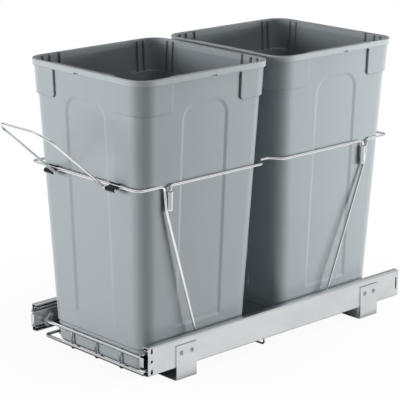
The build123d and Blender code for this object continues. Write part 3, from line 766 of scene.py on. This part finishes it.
@dataclass
class Bail:
    """The bail handle and the clips that hold it."""

    def build(self, paints: Paintbox) -> None:
        """Dress the handle and its clips.

        Args:
            paints: Materials of the unit.
        """
        paints.dress_part("handle", Slot.CHROME_WIRE)
        for side in SIDES:
            paints.dress_part(f"{side}_clip", Slot.BLACK_PLASTIC)


# ---------------------------------------------------------------- studio
@dataclass(frozen=True)
class SoftBox:
    """Soft rectangular lamp.

    Attributes:
        place: Its place, in metres.
        size: Its width and height, in metres.
        power: Its power, in watts.
    """

    place: Triple
    size: Pair
    power: float


@dataclass
class Studio:
    """Floor, lamps, surroundings and camera.

    Attributes:
        azimuth: Camera's bearing round the unit, from the front towards the right, in degrees.
        tilt: How far the camera looks down, in degrees.
        roll: Turn of the picture, in degrees.
        eye: Place of the camera, in metres.
        focal: Focal length as a share of the picture's width.
        film: Width of the film, in millimetres.
        nearest: Distance before which the camera sees nothing, in metres.
        lamps: Lamps by name.
        target: Point that the lamps look at, in metres.
        ambient: Light that the surroundings cast on the unit, where 1 is white.
        shade_side: How much darker reflections of the camera's side are.
        side_fade: Cosines from that side between which it gets darker.
        horizon: Brightness of the low sky in reflections.
        sky_fade: Heights of a direction between which the sky gets white.
        floor_reach: Half the floor's width, in metres.
        floor_bounce: Grey of the floor for light that it sends to the unit.
        floor_paper: Grey of the floor for the eye, on which the shadow lies.
        floor_glow: Share of the floor under the unit that is its own white, without shadow.
        glow_fade: Distances from the middle between which that share grows to 1, in metres.
        far_fade: Distances between which the floor takes on the sides' brightness, in metres.
        painted_shadow_footprint: Distances to the side and to the end between which the painted
            shadow under the
        unit ends in reflections, in metres.
    """

    azimuth: float = 46.84
    tilt: float = 15.56
    roll: float = 0.26
    eye: Triple = (1.9001, -1.8292, 0.9443)
    focal: float = 4.2614
    film: float = 36.0
    nearest: float = 0.1
    lamps: dict[str, SoftBox] = field(default_factory=lambda: {
        "left_box": SoftBox((-0.7, -1.9, 0.6), (1.25, 0.58), 40.5),
        "right_box": SoftBox((1.1, 0.85, 0.42), (1.0, 0.3), 22.5),
        "top_box": SoftBox((1.0, 0.5, 2.4), (1.4, 1.4), 11.0),
        "back_box": SoftBox((-1.15, 1.25, 0.5), (0.9, 0.42), 15.0),
    })
    target: Triple = (0.0, -0.05, 0.3)
    ambient: float = 0.06
    shade_side: float = 0.5
    side_fade: Pair = (0.3, 0.85)
    horizon: float = 0.3
    sky_fade: Pair = (0.4, 0.6)
    floor_reach: float = 30.0
    floor_bounce: float = 0.08
    floor_paper: float = 0.9
    floor_glow: float = 0.93
    glow_fade: Pair = (0.25, 0.6)
    far_fade: Pair = (0.5, 1.1)
    painted_shadow_footprint: tuple[Pair, Pair] = ((0.12, 0.17), (0.3, 0.38))

    def reflected(self, graph: Graph, towards: Value) -> Value:
        """Brightness that a shiny surface meets in a direction, lower on the camera's side.

        Args:
            graph: Graph of the world or the floor.
            towards: Direction from the unit.

        Returns:
            A number from 0 to 1.
        """
        turn = radians(self.azimuth)
        camera_side = Vector((sin(turn), -cos(turn), 0))
        facing = graph.value("ShaderNodeVectorMath", {"operation": "DOT_PRODUCT"},
                             {0: towards, 1: camera_side}, "Value")
        return 1.0 - self.shade_side * facing.band(*self.side_fade)

    def outside_painted_shadow(self, point: Value) -> Value:
        """Mask of the floor beside the unit, outside the shadow painted under it in reflections.

        Args:
            point: Point on the floor.

        Returns:
            A number from 0 under the unit to 1 beside it.
        """
        across, along = (
            abs(point.axis(axis)).band(*reach) for axis, reach in zip("XY", self.painted_shadow_footprint))
        return across + along - across * along

    def build(self) -> None:
        """Set up the whole studio."""
        bpy.context.scene.view_settings.view_transform = "Standard"
        self.place_camera()
        for name, lamp in self.lamps.items():
            self.place_lamp(name, lamp)
        self.light_world()
        self.lay_floor()

    def place_camera(self) -> None:
        """Camera at the picture's viewpoint."""
        turn, tilt, roll = radians(self.azimuth), radians(self.tilt), radians(self.roll)
        ahead = Vector((-sin(turn) * cos(tilt), cos(turn) * cos(tilt), -sin(tilt)))
        across = Vector((cos(turn), sin(turn), 0))
        above = across.cross(ahead)
        right = cos(roll) * across + sin(roll) * above
        up = cos(roll) * above - sin(roll) * across
        data = bpy.data.cameras.new("camera")
        data.sensor_width = self.film
        data.lens = self.focal * self.film
        data.clip_start = self.nearest
        camera = bpy.data.objects.new("camera", data)
        pose = Matrix((right, up, -ahead)).transposed().to_4x4()
        camera.matrix_world = Matrix.Translation(self.eye) @ pose
        bpy.context.scene.collection.objects.link(camera)
        bpy.context.scene.camera = camera

    def place_lamp(self, name: str, box: SoftBox) -> None:
        """Lamp that looks at the unit and shows neither in reflections nor to the camera.

        Args:
            name: Name of the lamp.
            box: Its place, size and power.
        """
        data = bpy.data.lights.new(name, "AREA")
        data.shape = "RECTANGLE"
        data.size, data.size_y = box.size
        data.energy = box.power
        lamp = bpy.data.objects.new(name, data)
        lamp.location = box.place
        lamp.visible_camera = lamp.visible_glossy = False
        ahead = Vector(self.target) - Vector(box.place)
        lamp.rotation_euler = ahead.to_track_quat("-Z", "Y").to_euler()
        bpy.context.scene.collection.objects.link(lamp)

    def light_world(self) -> None:
        """Surroundings: white to the eye, dimmer low down in reflections, and faint as light."""
        world = bpy.data.worlds.new("surroundings")
        world.use_nodes = True
        world.cycles.sampling_method = "NONE"
        bpy.context.scene.world = world
        graph = Graph(world.node_tree)
        towards = graph.value("ShaderNodeTexCoord", output="Generated")
        sky = self.horizon + (1.0 - self.horizon) * towards.axis("Z").band(*self.sky_fade)
        mirrored = self.reflected(graph, towards) * sky
        soft = self.ambient
        seen, through, shiny = (graph.ray(kind) for kind in ("Camera", "Transmission", "Glossy"))
        strength = soft + seen * (1 - soft) + through * (1 - soft) + shiny * (mirrored - soft)
        light = graph.node("ShaderNodeBackground", None, {"Color": WHITE, "Strength": strength})
        graph.node("ShaderNodeOutputWorld", None, {"Surface": light.outputs[0]})

    def lay_floor(self) -> None:
        """White floor that keeps the unit's shadow, with a painted shadow under the unit in
        reflections.
        """
        mesh = bmesh.new()
        bmesh.ops.create_grid(mesh, x_segments=1, y_segments=1, size=self.floor_reach)
        floor = make_piece("floor", mesh)
        material = bpy.data.materials.new("floor_finish")
        material.use_nodes = True
        graph = Graph(material.node_tree)
        looked_at = graph.ray("Camera") + graph.ray("Transmission")
        shiny = graph.ray("Glossy")
        point = graph.value("ShaderNodeTexCoord", output="Object")
        towards = graph.value("ShaderNodeVectorMath", {"operation": "NORMALIZE"}, {0: point})
        distance = graph.value("ShaderNodeVectorMath", {"operation": "LENGTH"}, {0: point},
                               "Value")
        beyond = distance.band(*self.far_fade)
        mirrored = 1.0 - beyond * (1.0 - self.reflected(graph, towards))
        light = graph.node("ShaderNodeEmission", None, {
            "Color": WHITE, "Strength": looked_at + shiny * mirrored})
        paper = graph.node("ShaderNodeBsdfDiffuse", None, {
            "Color": graph.blend(looked_at, grey(self.floor_bounce), grey(self.floor_paper))})
        away = distance.band(*self.glow_fade)
        share = self.floor_glow + (1.0 - self.floor_glow) * away
        mix = graph.node("ShaderNodeMixShader", None, {
            # Painted shadow: in reflections the floor's glow is cut off under the unit, leaving
            # the dim floor with its real shadow.
            0: (looked_at + shiny * self.outside_painted_shadow(point)) * share,
            1: paper.outputs[0], 2: light.outputs[0]})
        graph.node("ShaderNodeOutputMaterial", None, {"Surface": mix.outputs[0]})
        floor.data.materials.append(material)


def main() -> None:
    """Dress the unit and build the studio."""
    logging.basicConfig(level=logging.INFO, format="%(message)s")
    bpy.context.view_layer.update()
    paints = Paintbox()
    for assembly in (Bins(), Slides(), Tray(), Bail()):
        assembly.build(paints)
        LOG.info("built %s", type(assembly).__name__)
    bare = sorted(set(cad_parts) - paints.dressed)
    if bare:
        LOG.warning("parts without a finish: %s", bare)
    Studio().build()


if __name__ == "__main__":
    main()
